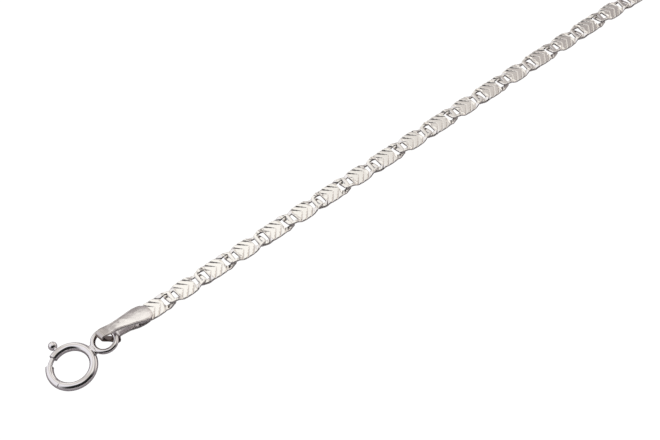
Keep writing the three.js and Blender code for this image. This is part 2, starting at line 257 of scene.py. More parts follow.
def volume(surface):
    """Six times the volume inside a closed surface, positive where its triangles face outwards."""
    points, triangles = surface
    a, b, c = (points[triangles[:, i]] for i in range(3))
    return np.einsum("ij,ij->i", a, np.cross(b, c)).sum()


def outward(surface):
    """A closed surface with its triangles facing outwards."""
    points, triangles = surface
    return (points, triangles) if volume(surface) > 0 else (points, triangles[:, ::-1])


def make_piece(name, surface, place, material, slot, body, replaces, crease=30, **marks):
    """A mesh object from points in millimetres, put in its place, with its edges sharp where they
    turn by more than the crease angle. Each mark is a number for every point, for the material."""
    points, triangles = surface
    points = (points @ place[0].T + place[1]) * MM
    mesh = bpy.data.meshes.new(name)
    mesh.from_pydata(points.tolist(), [], triangles.tolist())
    for mark, values in marks.items():
        attribute = mesh.attributes.new(mark, "FLOAT", "POINT")
        attribute.data.foreach_set("value", np.asarray(values, np.float32))
    mesh.shade_smooth()
    mesh.set_sharp_from_angle(angle=radians(crease))
    mesh.materials.append(material)
    piece = bpy.data.objects.new(name, mesh)
    bpy.context.scene.collection.objects.link(piece)
    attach(piece, body)
    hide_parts(replaces)


def turn_z(angle):
    """The matrix that turns round the vertical."""
    return np.array([[cos(angle), -sin(angle), 0], [sin(angle), cos(angle), 0], [0, 0, 1]])


def turn_y(angle):
    """The matrix that turns round the Y axis."""
    return np.array([[cos(angle), 0, sin(angle)], [0, 1, 0], [-sin(angle), 0, cos(angle)]])


def within(outer, inner):
    """The place of a thing that lies at one place inside another thing's frame."""
    return outer[0] @ inner[0], outer[0] @ np.asarray(inner[1], float) + outer[1]


def smooth(low, high, value):
    """Eases from 0 at low to 1 at high."""
    t = np.clip((value - low) / (high - low), 0, 1)
    return t * t * (3 - 2 * t)


# ---------------------------------------------------------------- the links

def chain_places():
    """Where each link lies: a step of half a pitch along its own heading and half along the next
    one's, with the half circle shared out evenly over the turning joints."""
    low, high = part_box("link_01")
    start = (np.array(low) + np.array(high)) / 2 / MM
    start[2] = LINK_MID_HEIGHT
    joint = np.arange(1, STRAIGHT_LINKS + TURN_JOINTS + RETURN_LINKS)
    turns = (joint >= STRAIGHT_LINKS) & (joint < STRAIGHT_LINKS + TURN_JOINTS)
    headings = np.concatenate([[0], np.cumsum(turns * pi / TURN_JOINTS)])
    pitch = np.where(turns, TURN_PITCH, PITCH)
    ways = np.stack([np.cos(headings), np.sin(headings), 0 * headings], 1)
    steps = (ways[1:] + ways[:-1]) * pitch[:, None] / 2
    middles = start + np.concatenate([[[0, 0, 0]], np.cumsum(steps, 0)])
    along = np.concatenate([[0], np.cumsum(pitch)])
    return [(turn_z(h), m) for h, m in zip(headings, middles)], along


def link_half_width(x, inset=0.0):
    """Half a link's width at x: its side arc, then the rounded corner of its nose. An inset moves
    the whole outline inwards."""
    side = LINK_SIDE_RADIUS - inset
    nose = LINK_NOSE_RADIUS - inset
    corner_at = LINK_HALF_LENGTH - LINK_NOSE_RADIUS
    reach = np.maximum(np.abs(x) - corner_at, 0)
    at = np.minimum(np.abs(x), corner_at)
    arc = LINK_HALF_WIDTH - LINK_SIDE_RADIUS + np.sqrt(side ** 2 - at ** 2)
    return arc - nose + np.sqrt(np.maximum(nose ** 2 - reach ** 2, 0))


def rounded(from_edge, radius):
    """How far an edge's rounding lowers a face at a distance from the edge: a quarter circle."""
    inside = np.clip(radius - from_edge, 0, radius)
    return radius - np.sqrt(radius ** 2 - inside ** 2)


def link_columns(phase):
    """The places along a link where its grid has a column: the steps of the engraving, and the
    ends of the windows and noses. No other column comes close to those ends."""
    step = CHEVRON_PITCH / CUT_STEPS
    count = int(LINK_HALF_LENGTH / step) + 1
    steps = (np.arange(-count, count + 1) - phase / step % 1) * step
    ends = np.array([WINDOW_NEAR, WINDOW_FAR,
                     *(LINK_HALF_LENGTH - share * LINK_TOP_ROUND for share in LINK_ROUND_STEPS)])
    ends = np.concatenate([-ends, ends])
    clear = np.abs(steps[:, None] - ends).min(1) > step / 3
    inside = np.abs(steps) < LINK_HALF_LENGTH
    return np.sort(np.concatenate([steps[clear & inside], ends]))


def link_surface(along, start_twist, end_twist):
    """A link's plate. Its grid runs along x and across from rim to rim: the middle rows end at the
    windows' sides, the others stop short of the rim, and the last two round it off. Each half of
    the top is lowered by v-shaped cuts where x plus the slope times |y| is a whole pitch, by a depth
    that grows from nothing on the middle line to the full depth at the rim, and is less on the noses
    and beside the windows."""
    step = CHEVRON_PITCH / CUT_STEPS
    x = link_columns(along - CHEVRON_START)
    row_step = step / CHEVRON_SLOPE
    window_row = int(round(WINDOW_HALF_WIDTH / row_step))
    rim_row = int(LINK_HALF_WIDTH / row_step) + 1
    level = np.arange(rim_row + 1) * row_step
    by_window = np.abs(x) > WINDOW_NEAR - 1e-6
    window = np.minimum(WINDOW_HALF_WIDTH, WINDOW_SHARE * link_half_width(x))
    squeeze = np.where(by_window, window / (window_row * row_step), 1)
    side = np.where(np.arange(rim_row + 1) <= window_row, level * squeeze[:, None], level)
    side = np.minimum(side, link_half_width(x, LINK_TOP_ROUND)[:, None])
    full = link_half_width(x)
    rim = [link_half_width(x, share * LINK_TOP_ROUND) for share in LINK_ROUND_STEPS[::-1]]
    side = np.concatenate([side, np.stack(rim, 1)], 1)
    y = np.concatenate([-side[:, :0:-1], side], 1)
    x = np.broadcast_to(x[:, None], y.shape)

    from_rim = np.minimum(full[:, None] - np.abs(y), LINK_HALF_LENGTH - np.abs(x))
    from_end = np.maximum(WINDOW_NEAR - np.abs(x), np.abs(x) - WINDOW_FAR)
    from_side = np.abs(y) - window[:, None]
    from_window = np.hypot(np.maximum(from_end, 0), np.maximum(from_side, 0))
    top_round = rounded(from_rim, LINK_TOP_ROUND) + rounded(from_window, WINDOW_ROUND)
    low_round = rounded(from_rim, LINK_LOW_ROUND) + rounded(from_window, LINK_LOW_ROUND)
    across = np.abs(y) / full[:, None]
    twist = np.where(x < 0, start_twist, end_twist)
    slope = twist * smooth(TWIST_FROM, TWIST_TO, np.abs(x)) * tan(TWIST)

    place = (along - CHEVRON_START + x + CHEVRON_SLOPE * np.abs(y)) / CHEVRON_PITCH
    from_cut = np.abs(place - np.round(place)) * CHEVRON_PITCH
    on_nose = smooth(NOSE_FROM, NOSE_TO, np.abs(x)) * smooth(NOSE_SIDE, NOSE_MIDDLE, np.abs(y))
    on_arm = smooth(ARM_FROM, ARM_TO, np.abs(x))
    depth = CUT_DEPTH * across ** CUT_REACH * (1 - NOSE_LOSS * on_nose) * (1 - ARM_LOSS * on_arm)
    cut = np.maximum(depth - from_cut * CUT_DEPTH / CUT_HALF_WIDTH, 0)

    middle = slope * y
    crown = LINK_CROWN * (1 - across ** 2)
    top = np.stack([x, y, middle + LINK_THICKNESS / 2 + crown - top_round - cut], 2)
    low = np.stack([x, y, middle - LINK_THICKNESS / 2 + low_round], 2)

    rows = np.arange(y.shape[1] - 1)
    centre = y.shape[1] // 2
    in_window = (rows >= centre - window_row) & (rows < centre + window_row)
    mid_x = np.abs(x[:-1, 0] + x[1:, 0]) / 2
    at_window = (mid_x > WINDOW_NEAR) & (mid_x < WINDOW_FAR)
    keep = ~(at_window[:, None] & in_window)
    slanted = np.broadcast_to(rows >= centre, keep.shape)
    return outward(joined(wall(top, low, keep, slanted)))


def cut_share(surface, along):
    """How deep each point of a link lies in a cut, from 0 on the plate's face to 1 at the bottom of
    the deepest cut."""
    x, y = surface[0][:, 0], surface[0][:, 1]
    place = (along - CHEVRON_START + x + CHEVRON_SLOPE * np.abs(y)) / CHEVRON_PITCH
    from_cut = np.abs(place - np.round(place)) * CHEVRON_PITCH
    across = np.abs(y) / link_half_width(x).clip(0.1)
    return np.clip(across ** CUT_REACH - from_cut / CUT_HALF_WIDTH, 0, 1)


def make_links(places, along, material):
    """Every link of the chain. Their noses are twisted to alternate sides, so that they pass over and
    under each other."""
    last = len(places) - 1
    for number, place in enumerate(places):
        side = 1 if number % 2 == 0 else -1
        start_twist = 0 if number == 0 else side
        end_twist = 0 if number == last else side
        surface = link_surface(along[number], start_twist, end_twist)
        name = f"link_{number + 1:02d}"
        # The cut mark also sets how much shade the chain's material paints into the cuts.
        make_piece(f"engraved_{name}", surface, place, material, "chain_metal", "bracelet", name,
                   crease=28, cut=cut_share(surface, along[number]))


# ---------------------------------------------------------------- the end caps

def cap_line():
    """The strip's middle line seen from the side: its distances at the joints between straights and
    bends, then distance, x, z and heading in small steps. The heading holds along the straights and
    turns evenly in the bends, and the line is the sum of the steps along it. From the upper leaf it
    goes round the eye and down a leg to the heel on the ground, up to the lower leaf's shoulder, and
    down that leaf until it lies level under the link."""
    lower_level = CAP_THICKNESS / 2 - LINK_MID_HEIGHT
    start_z = LINK_THICKNESS / 2 + CAP_GAP + CAP_THICKNESS / 2
    eye_turn = pi + CAP_RISE - CAP_LEG_FALL
    eye_drop = CAP_EYE_RADIUS * (cos(CAP_RISE) + cos(CAP_LEG_FALL))
    heel_drop = CAP_HEEL_RADIUS * (1 - cos(CAP_LEG_FALL))
    top = start_z + CAP_UPPER_LENGTH * sin(CAP_RISE)
    leg = (top - eye_drop - heel_drop - lower_level) / sin(CAP_LEG_FALL)
    heel_gain = CAP_HEEL_RADIUS * (1 - cos(CAP_HEEL_RISE))
    up = (CAP_SHOULDER - 2 * heel_gain) / sin(CAP_HEEL_RISE)
    rounds = (CAP_HEEL_RADIUS + CAP_TOE_RADIUS) * (1 - cos(CAP_LOWER_FALL))
    down = (CAP_SHOULDER - rounds) / sin(CAP_LOWER_FALL)
    level = CAP_UPPER_LENGTH * cos(CAP_RISE) + CAP_EYE_RADIUS * (sin(CAP_RISE) + sin(CAP_LEG_FALL)) \
        - leg * cos(CAP_LEG_FALL) - up * cos(CAP_HEEL_RISE) - down * cos(CAP_LOWER_FALL) \
        - CAP_HEEL_RADIUS * (sin(CAP_LEG_FALL) + 2 * sin(CAP_HEEL_RISE)) \
        - (CAP_HEEL_RADIUS + CAP_TOE_RADIUS) * sin(CAP_LOWER_FALL)
    turns = [0, eye_turn, 0, CAP_LEG_FALL + CAP_HEEL_RISE, 0, -CAP_HEEL_RISE - CAP_LOWER_FALL, 0,
             CAP_LOWER_FALL, 0]
    lengths = [CAP_UPPER_LENGTH, turns[1] * CAP_EYE_RADIUS, leg, turns[3] * CAP_HEEL_RADIUS, up,
               -turns[5] * CAP_HEEL_RADIUS, down, turns[7] * CAP_TOE_RADIUS, level]
    joints = np.concatenate([[0], np.cumsum(lengths)])
    headings = pi - CAP_RISE + np.concatenate([[0], np.cumsum(turns)])
    distance = np.linspace(0, joints[-1], CAP_LINE_POINTS)
    heading = np.interp(distance, joints, headings)
    step = distance[1]
    middle = (heading[1:] + heading[:-1]) / 2
    x = -CAP_LEAF_END + np.concatenate([[0], np.cumsum(np.cos(middle) * step)])
    z = start_z + np.concatenate([[0], np.cumsum(np.sin(middle) * step)])
    return joints, distance, x, z, heading


def cap_half_width(distance, joints):
    """Half the strip's width, before its ends are rounded: widest near both ends, narrow at the neck,
    the middle of the leg and the waist, with the corners of that line eased."""
    end = joints[-1]
    leg_middle = (joints[2] + joints[3]) / 2
    knots = [CAP_UPPER_LEVEL, CAP_NECK_AT, joints[1] - CAP_EYE_MARGIN, joints[1] + CAP_EYE_MARGIN,
             joints[2], leg_middle, joints[3], joints[4], joints[5], end - CAP_WAIST_AT,
             end - CAP_LOWER_LEVEL]
    widths = [CAP_UPPER_ROUND, CAP_NECK, CAP_NECK, CAP_EYE_HALF, CAP_EYE_HALF, CAP_LEG_HALF,
              CAP_EYE_HALF, CAP_EYE_HALF, CAP_WAIST, CAP_WAIST, CAP_LOWER_ROUND]
    spread = np.linspace(-CAP_EASING, CAP_EASING, 9)
    return np.mean([np.interp(distance + s, knots, widths) for s in spread], 0)


def cap_stations(joints):
    """The distances along the strip where its grid has a row, closer together at the round ends and
    in the bends."""
    end = joints[-1]
    closing = 1 - np.cos(np.linspace(0, pi / 2, 16))
    steps = [30, 26, 12, 14, 4, 12, 12, 5]
    spans = zip((CAP_UPPER_ROUND, *joints[1:8]), joints[1:9], steps)
    rows = [np.linspace(*span) for span in [*spans, (joints[8], end - CAP_LOWER_ROUND, 12)]]
    return np.unique(np.round(np.concatenate(
        [closing * CAP_UPPER_ROUND, *rows, end - closing * CAP_LOWER_ROUND]), 6))


def round_end(distance, radius):
    """What share of its width a round-ended strip has at a distance from its end."""
    return np.sqrt(1 - (1 - np.clip(distance / radius, 0, 1)) ** 2)


def cap_surface():
    """A cap's strip. Across it the grid goes from edge to edge by a sine, and half its thickness
    falls to nothing at every edge as a circle does. The upper leaf's outer face rises further in a
    bevel along its rim and then a shallow dome, and dips where the neck begins."""
    joints, distance, line_x, line_z, line_heading = cap_line()
    s = cap_stations(joints)
    from_toe = joints[-1] - s
    half = cap_half_width(s, joints)
    half = half * round_end(s, CAP_UPPER_ROUND) * round_end(from_toe, CAP_LOWER_ROUND)
    across = np.sin(np.linspace(-pi / 2, pi / 2, 31))
    y = half[:, None] * across
    to_edge = half[:, None] - np.abs(y)
    for off, radius in ((s, CAP_UPPER_ROUND), (from_toe, CAP_LOWER_ROUND)):
        in_round = off[:, None] < radius
        to_edge = np.where(in_round, radius - np.hypot(radius - off[:, None], y), to_edge)
    edge = CAP_THICKNESS / 2
    thick = np.sqrt(edge ** 2 - (edge - np.clip(to_edge, 0, edge)) ** 2)
    on_leaf = smooth(joints[1], joints[1] - CAP_LEAF_EASING, s)
    bevel = CAP_CROWN * (1 - (1 - np.clip(to_edge / CAP_BEVEL, 0, 1)) ** 2)
    dome = CAP_DOME * (half[:, None] ** 2 - y ** 2) / CAP_UPPER_ROUND ** 2
    dip = CAP_DIP * smooth(CAP_DIP_FROM, CAP_DIP_TO, s)
    dip = dip * smooth(joints[2] + CAP_DIP_PAST_EYE, joints[1], s)
    crown = on_leaf[:, None] * (bevel + dome) - dip[:, None]
    x = np.interp(s, distance, line_x)[:, None]
    z = np.interp(s, distance, line_z)[:, None]
    heading = np.interp(s, distance, line_heading)[:, None]

    def face(off):
        return np.stack([x + np.sin(heading) * off, y, z - np.cos(heading) * off], 2)

    return outward(joined(wall(face(thick + crown), face(-thick))))


def cap_post():
    """The post that holds a cap's leaves together, with its ends inside them."""
    foot = CAP_THICKNESS / 2 - LINK_MID_HEIGHT
    head = LINK_THICKNESS / 2 + CAP_GAP + CAP_THICKNESS / 2 + (POST_AT - CAP_LEAF_END) * tan(CAP_RISE)
    turn = np.linspace(0, 2 * pi, 33)
    radius = np.array([0, POST_RADIUS, POST_RADIUS, 0])[:, None]
    height = np.array([foot, foot, head, head])[:, None]
    post = np.stack([radius * np.cos(turn) - POST_AT, radius * np.sin(turn), height + 0 * turn], 2)
    return outward(joined(skin(post)))


def cap_eye(from_fold):
    """A place in a cap's eye, a distance out of the fold towards the open leaves."""
    between = (CAP_RISE + CAP_LEG_FALL) / 2
    fold_x = -CAP_LEAF_END - CAP_UPPER_LENGTH * cos(CAP_RISE) - CAP_EYE_RADIUS * sin(CAP_RISE)
    start_z = LINK_THICKNESS / 2 + CAP_GAP + CAP_THICKNESS / 2
    fold_z = start_z + CAP_UPPER_LENGTH * sin(CAP_RISE) - CAP_EYE_RADIUS * cos(CAP_RISE)
    return fold_x + from_fold * cos(between), fold_z - from_fold * sin(between)


def make_cap(name, place, material):
    """An end cap with its post. Its colour is painted a darker brown round the fold, and most of all
    on the leg and the heel below the neck: painted shade where the fold and the upper leaf shade it."""
    surface = together(cap_surface(), cap_post())
    x, z = surface[0][:, 0], surface[0][:, 2]
    eye_x, eye_z = cap_eye(0)
    joints, distance, line_x, line_z, _ = cap_line()
    shoulder = np.interp(joints[5], distance, line_x)
    below_neck = line_z[0] - (x - line_x[0]) * tan(CAP_RISE) - z
    on_leg = smooth(LEG_BELOW, LEG_FULLY_BELOW, below_neck)
    on_leg = on_leg * smooth(shoulder + LEG_EASING, shoulder - LEG_EASING, x)
    on_fold = smooth(FOLD_FAR, FOLD_NEAR, np.hypot(x - eye_x, z - eye_z))
    # Painted shade: how much darker brown the colour is round the fold's eye and on the leg and heel
    # under the upper leaf.
    tarnish = np.maximum(FOLD_TARNISH * on_fold, LEG_TARNISH * on_leg)
    make_piece(f"folded_{name}", surface, place, material, "cap_metal", "bracelet", name,
               tarnish=tarnish)


# ---------------------------------------------------------------- the clasp

def tube(path, radius, turn):
    """Points round a tube that follows the ring's circle: at each angle of the path, a circle of the
    radius there, from the inner side under, out and over."""
    path, radius = np.asarray(path, float)[:, None], np.asarray(radius, float)[:, None]
    out = RING_RADIUS + radius * np.cos(turn)
    return np.stack([out * np.cos(path), out * np.sin(path), radius * np.sin(turn)], 2)


def tube_lip(at, back):
    """A tube end's rounded lip, from the outer wall to the inner one: half an ellipse as wide as the
    wall. back is -1 where the tube lies at smaller angles and 1 where it lies at larger ones."""
    a = np.linspace(0, pi, 9)
    middle, half = (TUBE_RADIUS + CHANNEL_RADIUS) / 2, (TUBE_RADIUS - CHANNEL_RADIUS) / 2
    return at + back * TUBE_LIP * (1 - np.sin(a)) / RING_RADIUS, middle + half * np.cos(a)


def ring_surface(radius, wire, around, about):
    """A closed round ring: a circle carried round a circle."""
    a = np.linspace(0, 2 * pi, around + 1)[:, None]
    b = np.linspace(0, 2 * pi, about + 1)
    out = radius + wire * np.cos(b)
    ring = np.stack([out * np.cos(a), out * np.sin(a), wire * np.sin(b) + 0 * a], 2)
    return outward(joined(skin(ring)))


def ball_surface(radii, centre, around=48, about=28):
    """A ball, or an egg where its three radii differ: a half circle turned round an upright axis."""
    a = np.linspace(0, 2 * pi, around + 1)
    b = np.linspace(-pi / 2, pi / 2, about + 1)[:, None]
    shape = np.stack([np.cos(b) * np.cos(a), np.cos(b) * np.sin(a), np.sin(b) + 0 * a], 2)
    return outward(joined(skin(shape * radii + centre)))


def spring_ring_surface():
    """The tube goes all the way round from its socket to its mouth, and is hollow before its mouth,
    with a slot along its outer side for the knob's stem. A fine seam shows where its two halves meet.
    The small ring is soldered on its chain side, with a bead of solder in the corners."""
    turn = np.linspace(-pi, pi, 73)
    socket_lip, socket_wall = tube_lip(SOCKET, 1)
    mouth_lip, mouth_wall = tube_lip(MOUTH, -1)
    to_seam = np.linspace(SOCKET, SEAM_AT, 24)[1:-1]
    past_seam = np.linspace(SEAM_AT, CHANNEL_END + 2 * pi, 70)[1:]
    at_seam = SEAM_AT + np.array([-1, 0, 1]) * SEAM_HALF_WIDTH / RING_RADIUS
    floor = SOCKET + SOCKET_DEPTH
    path = np.concatenate([[floor, floor], socket_lip[::-1], to_seam, at_seam, past_seam])
    radius = np.concatenate([[0, CHANNEL_RADIUS], socket_wall[::-1], 0 * to_seam + SLEEVE_RADIUS,
                             [SLEEVE_RADIUS, SLEEVE_RADIUS - SEAM_DEPTH, TUBE_RADIUS],
                             0 * past_seam + TUBE_RADIUS])
    closed = skin(tube(path, radius, turn))

    hollow = np.concatenate([np.linspace(CHANNEL_END, SLOT_FROM, 7),
                             np.linspace(SLOT_FROM, SLOT_TO, 16)[1:],
                             np.linspace(SLOT_TO, mouth_lip[0], 6)[1:]])
    middle, side = (hollow[1:] + hollow[:-1]) / 2, (turn[1:] + turn[:-1]) / 2
    in_slot = (middle > SLOT_FROM) & (middle < SLOT_TO)
    slot = in_slot[:, None] & (np.abs(side) < SLOT_HALF_ANGLE)
    outer = tube(hollow, 0 * hollow + TUBE_RADIUS, turn)
    inner = tube(hollow, 0 * hollow + CHANNEL_RADIUS, turn)
    slotted = wall(outer, inner, ~slot, round_it=True, open_start=True, open_end=True)
    mouth = skin(tube(mouth_lip, mouth_wall, turn))
    channel_floor = skin(tube([CHANNEL_END, CHANNEL_END], [CHANNEL_RADIUS, 0], turn))
    body = outward(joined(closed, slotted, mouth, channel_floor))

    reach = RING_RADIUS + TUBE_RADIUS + SMALL_WIRE + SMALL_RADIUS - SOLDER_OVERLAP
    small = moved(ring_surface(SMALL_RADIUS, SMALL_WIRE, 96, 36), (reach, 0, 0))
    solder = ball_surface(SOLDER_RADII, (RING_RADIUS + TUBE_RADIUS, 0, 0))
    return together(body, small, solder)


def gate_surface():
    """The gate: a curved rod with a rounded tip, its stem and the ball that a finger pushes."""
    turn = np.linspace(-pi, pi, 37)
    easing = np.linspace(0, pi / 2, 9)
    tip = ROD_TIP - ROD_RADIUS * (1 - np.sin(easing)) / RING_RADIUS
    path = np.concatenate([[ROD_TAIL], np.linspace(ROD_TAIL, tip[0], ROD_STEPS), tip[1:]])
    radius = np.concatenate([[0], np.full(ROD_STEPS, ROD_RADIUS), ROD_RADIUS * np.cos(easing[1:])])
    rod = outward(joined(skin(tube(path, radius, turn))))
    out = np.array([RING_RADIUS, RING_RADIUS, KNOB_FROM_CENTRE, KNOB_FROM_CENTRE])[:, None]
    around = np.array([0, STEM_RADIUS, STEM_RADIUS, 0])[:, None]
    stem = np.stack([out + 0 * turn, around * np.cos(turn), around * np.sin(turn)], 2)
    stem = outward(joined(skin(stem)))
    knob = ball_surface((KNOB_RADIUS,) * 3, (KNOB_FROM_CENTRE, 0, 0))
    handle = together(stem, knob)
    return together(rod, (handle[0] @ turn_z(KNOB_AT).T, handle[1]))


def moved(surface, by):
    """A surface moved sideways."""
    return surface[0] + np.asarray(by, float), surface[1]


def together(*surfaces):
    """Several closed surfaces in one mesh, each whole in itself."""
    offsets = np.cumsum([0] + [len(points) for points, _ in surfaces[:-1]])
    return (np.concatenate([points for points, _ in surfaces]),
            np.concatenate([triangles + off for (_, triangles), off in zip(surfaces, offsets)]))


def make_clasp(link_place, material):
    """The spring ring and its gate, tipped up at the chain's end."""
    height = TUBE_RADIUS + RING_RADIUS * sin(CLASP_PITCH) - LINK_MID_HEIGHT
    centre = (-CLASP_BACK, CLASP_SIDEWAYS, height)
    place = within(link_place, (turn_y(-CLASP_PITCH), centre))
    make_piece("polished_spring_ring", spring_ring_surface(), place, material, "clasp_metal",
               "bracelet", "spring_ring", crease=40)
    make_piece("polished_gate", gate_surface(), place, material, "clasp_metal", "gate", "gate",
               crease=40)


def make_jump_ring(cap_place, material):
    """The jump ring passes through the far cap's eye and leans down to the surface."""
    eye_x, eye_z = cap_eye(JUMP_FROM_FOLD)
    lean = asin((eye_z + LINK_MID_HEIGHT - JUMP_WIRE) / (2 * JUMP_RADIUS))
    centre = (eye_x - JUMP_RADIUS * cos(lean), 0, eye_z - JUMP_RADIUS * sin(lean))
    place = within(cap_place, (turn_y(-lean), centre))
    make_piece("polished_jump_ring", ring_surface(JUMP_RADIUS, JUMP_WIRE, 128, 36), place, material,
               "clasp_metal", "bracelet", "jump_ring")


# ---------------------------------------------------------------- the metals

def linear(hex_colour):
    """A colour given as sRGB hex, in linear light."""
    parts = [int(hex_colour[i:i + 2], 16) / 255 for i in (1, 3, 5)]
    return [c / 12.92 if c <= 0.04045 else ((c + 0.055) / 1.055) ** 2.4 for c in parts] + [1.0]


def add(tree, kind, settings=None, inputs=None, links=None):
    """A node of a kind, with its own settings, its sockets' values and what is linked to them."""
    node = tree.nodes.new(kind)
    for name, value in (settings or {}).items():
        setattr(node, name, value)
    for name, value in (inputs or {}).items():
        node.inputs[name].default_value = value
    for name, source in (links or {}).items():
        tree.links.new(source, node.inputs[name])
    return node


def new_metal(name):
    """A bare metal: its node tree, its shader and the places on the piece in metres."""
    material = bpy.data.materials.new(name)
    material.use_nodes = True
    tree = material.node_tree
    tree.nodes.clear()
    shader = add(tree, "ShaderNodeBsdfPrincipled", inputs={"Metallic": 1.0})
    add(tree, "ShaderNodeOutputMaterial", links={"Surface": shader.outputs["BSDF"]})
    place = add(tree, "ShaderNodeTexCoord").outputs["Object"]
    return material, tree, shader, place


def bright_cut_silver():
    """Rhodium-plated sterling silver, rolled flat and cut with a diamond wheel. The faces are bright,
    with the roller's fine lines along X, which is the straight run's way, and the colour turns a
    little grey-brown deep in the cuts, as painted shade there."""
    material, tree, shader, place = new_metal("bright cut silver")
    lines = add(tree, "ShaderNodeMapping", links={"Vector": place})
    lines.inputs["Scale"].default_value = (1 / (4 * MM), 1 / (0.12 * MM), 1 / MM)
    rolled = add(tree, "ShaderNodeTexNoise", inputs={"Scale": 1.0, "Detail": 3.0},
                 links={"Vector": lines.outputs["Vector"]})
    # Painted shade: the deeper a point lies in a cut, the more grey-brown its colour.
    cut = add(tree, "ShaderNodeAttribute", {"attribute_name": "cut"})
    dirt = add(tree, "ShaderNodeMapRange", inputs={"From Min": 0.2, "From Max": 1.0, "To Max": 0.18},
               links={"Value": cut.outputs["Fac"]})
    colour = add(tree, "ShaderNodeMix", {"data_type": "RGBA"},
                 inputs={6: linear("#f4f1ee"), 7: linear("#6b625c")}, links={0: dirt.outputs["Result"]})
    tree.links.new(colour.outputs[2], shader.inputs["Base Color"])
    rough = add(tree, "ShaderNodeMapRange", inputs={"To Min": 0.08, "To Max": 0.16},
                links={"Value": rolled.outputs["Fac"]})
    tree.links.new(rough.outputs["Result"], shader.inputs["Roughness"])
    bump = add(tree, "ShaderNodeBump", inputs={"Strength": 0.25, "Distance": 0.01 * MM},
               links={"Height": rolled.outputs["Fac"]})
    tree.links.new(bump.outputs["Normal"], shader.inputs["Normal"])
    return material


def satin_silver():
    """Sterling silver strip, pickled and lightly brushed: a soft satin with a fine grain, shallow dents
    and wide blotches where fingers and tools have worn it, and a brown painted shade laid into its
    colour round its fold and under its upper leaf."""
    material, tree, shader, place = new_metal("satin silver")
    grain = add(tree, "ShaderNodeTexNoise", inputs={"Scale": 1 / (0.09 * MM), "Detail": 4.0},
                links={"Vector": place})
    blotch = add(tree, "ShaderNodeTexNoise", inputs={"Scale": 1 / (1.6 * MM), "Detail": 2.0},
                 links={"Vector": place})
    colour = add(tree, "ShaderNodeMix", {"data_type": "RGBA"},
                 inputs={6: linear("#f6f4f2"), 7: linear("#e0dbdc")}, links={0: blotch.outputs["Fac"]})
    # Painted shade: the cap's mark turns the colour towards a dark brown in the fold and under the upper
    # leaf.
    tarnish = add(tree, "ShaderNodeAttribute", {"attribute_name": "tarnish"})
    dulled = add(tree, "ShaderNodeMix", {"data_type": "RGBA"}, inputs={7: linear("#6e5c4e")},
                 links={0: tarnish.outputs["Fac"], 6: colour.outputs[2]})
    tree.links.new(dulled.outputs[2], shader.inputs["Base Color"])
    rough = add(tree, "ShaderNodeMapRange", inputs={"To Min": 0.16, "To Max": 0.26},
                links={"Value": blotch.outputs["Fac"]})
    tree.links.new(rough.outputs["Result"], shader.inputs["Roughness"])
    dents = add(tree, "ShaderNodeTexNoise", inputs={"Scale": 1 / (1.1 * MM), "Detail": 1.5},
                links={"Vector": place})
    worn = add(tree, "ShaderNodeBump", inputs={"Strength": 0.8, "Distance": 0.06 * MM},
               links={"Height": dents.outputs["Fac"]})
    bump = add(tree, "ShaderNodeBump", inputs={"Strength": 0.25, "Distance": 0.01 * MM},
               links={"Height": grain.outputs["Fac"], "Normal": worn.outputs["Normal"]})
    tree.links.new(bump.outputs["Normal"], shader.inputs["Normal"])
    return material


def polished_silver():
    """Rhodium-plated sterling silver wire and tube, polished to a mirror, with the faint haze and hair
    scratches of handling."""
    material, tree, shader, place = new_metal("polished silver")
    haze = add(tree, "ShaderNodeTexNoise", inputs={"Scale": 1 / (0.8 * MM), "Detail": 4.0},
               links={"Vector": place})
    rough = add(tree, "ShaderNodeMapRange", inputs={"To Min": 0.05, "To Max": 0.13},
                links={"Value": haze.outputs["Fac"]})
    tree.links.new(rough.outputs["Result"], shader.inputs["Roughness"])
    colour = add(tree, "ShaderNodeMix", {"data_type": "RGBA"},
                 inputs={6: linear("#f3f1f3"), 7: linear("#e2dedf")}, links={0: haze.outputs["Fac"]})
    tree.links.new(colour.outputs[2], shader.inputs["Base Color"])
    bump = add(tree, "ShaderNodeBump", inputs={"Strength": 0.1, "Distance": 0.01 * MM},
               links={"Height": haze.outputs["Fac"]})
    tree.links.new(bump.outputs["Normal"], shader.inputs["Normal"])
    return material


# ---------------------------------------------------------------- the studio

def make_floor():
    """A pale sweep of card. What the metal mirrors of it is a quiet grey, and the eye sees it almost
    white."""
    mesh = bpy.data.meshes.new("floor")
    corners = [(x * FLOOR_HALF, y * FLOOR_HALF, 0) for x, y in ((-1, -1), (1, -1), (1, 1), (-1, 1))]
    mesh.from_pydata(corners, [], [(0, 1, 2, 3)])
    floor = bpy.data.objects.new("floor", mesh)
    bpy.context.scene.collection.objects.link(floor)
    material = bpy.data.materials.new("pale card")
    material.use_nodes = True
    tree = material.node_tree
    tree.nodes.clear()
    card = add(tree, "ShaderNodeBsdfDiffuse", inputs={"Color": linear("#cbc6cb")})
    glow = add(tree, "ShaderNodeEmission", inputs={"Color": linear("#ffffff"), "Strength": FLOOR_GLOW})
    lit = add(tree, "ShaderNodeMixShader", inputs={0: FLOOR_GLOW_SHARE},
              links={1: card.outputs[0], 2: glow.outputs[0]})
    ray = add(tree, "ShaderNodeLightPath")
    both = add(tree, "ShaderNodeMixShader",
               links={0: ray.outputs["Is Camera Ray"], 1: card.outputs[0], 2: lit.outputs[0]})
    add(tree, "ShaderNodeOutputMaterial", links={"Surface": both.outputs[0]})
    mesh.materials.append(material)


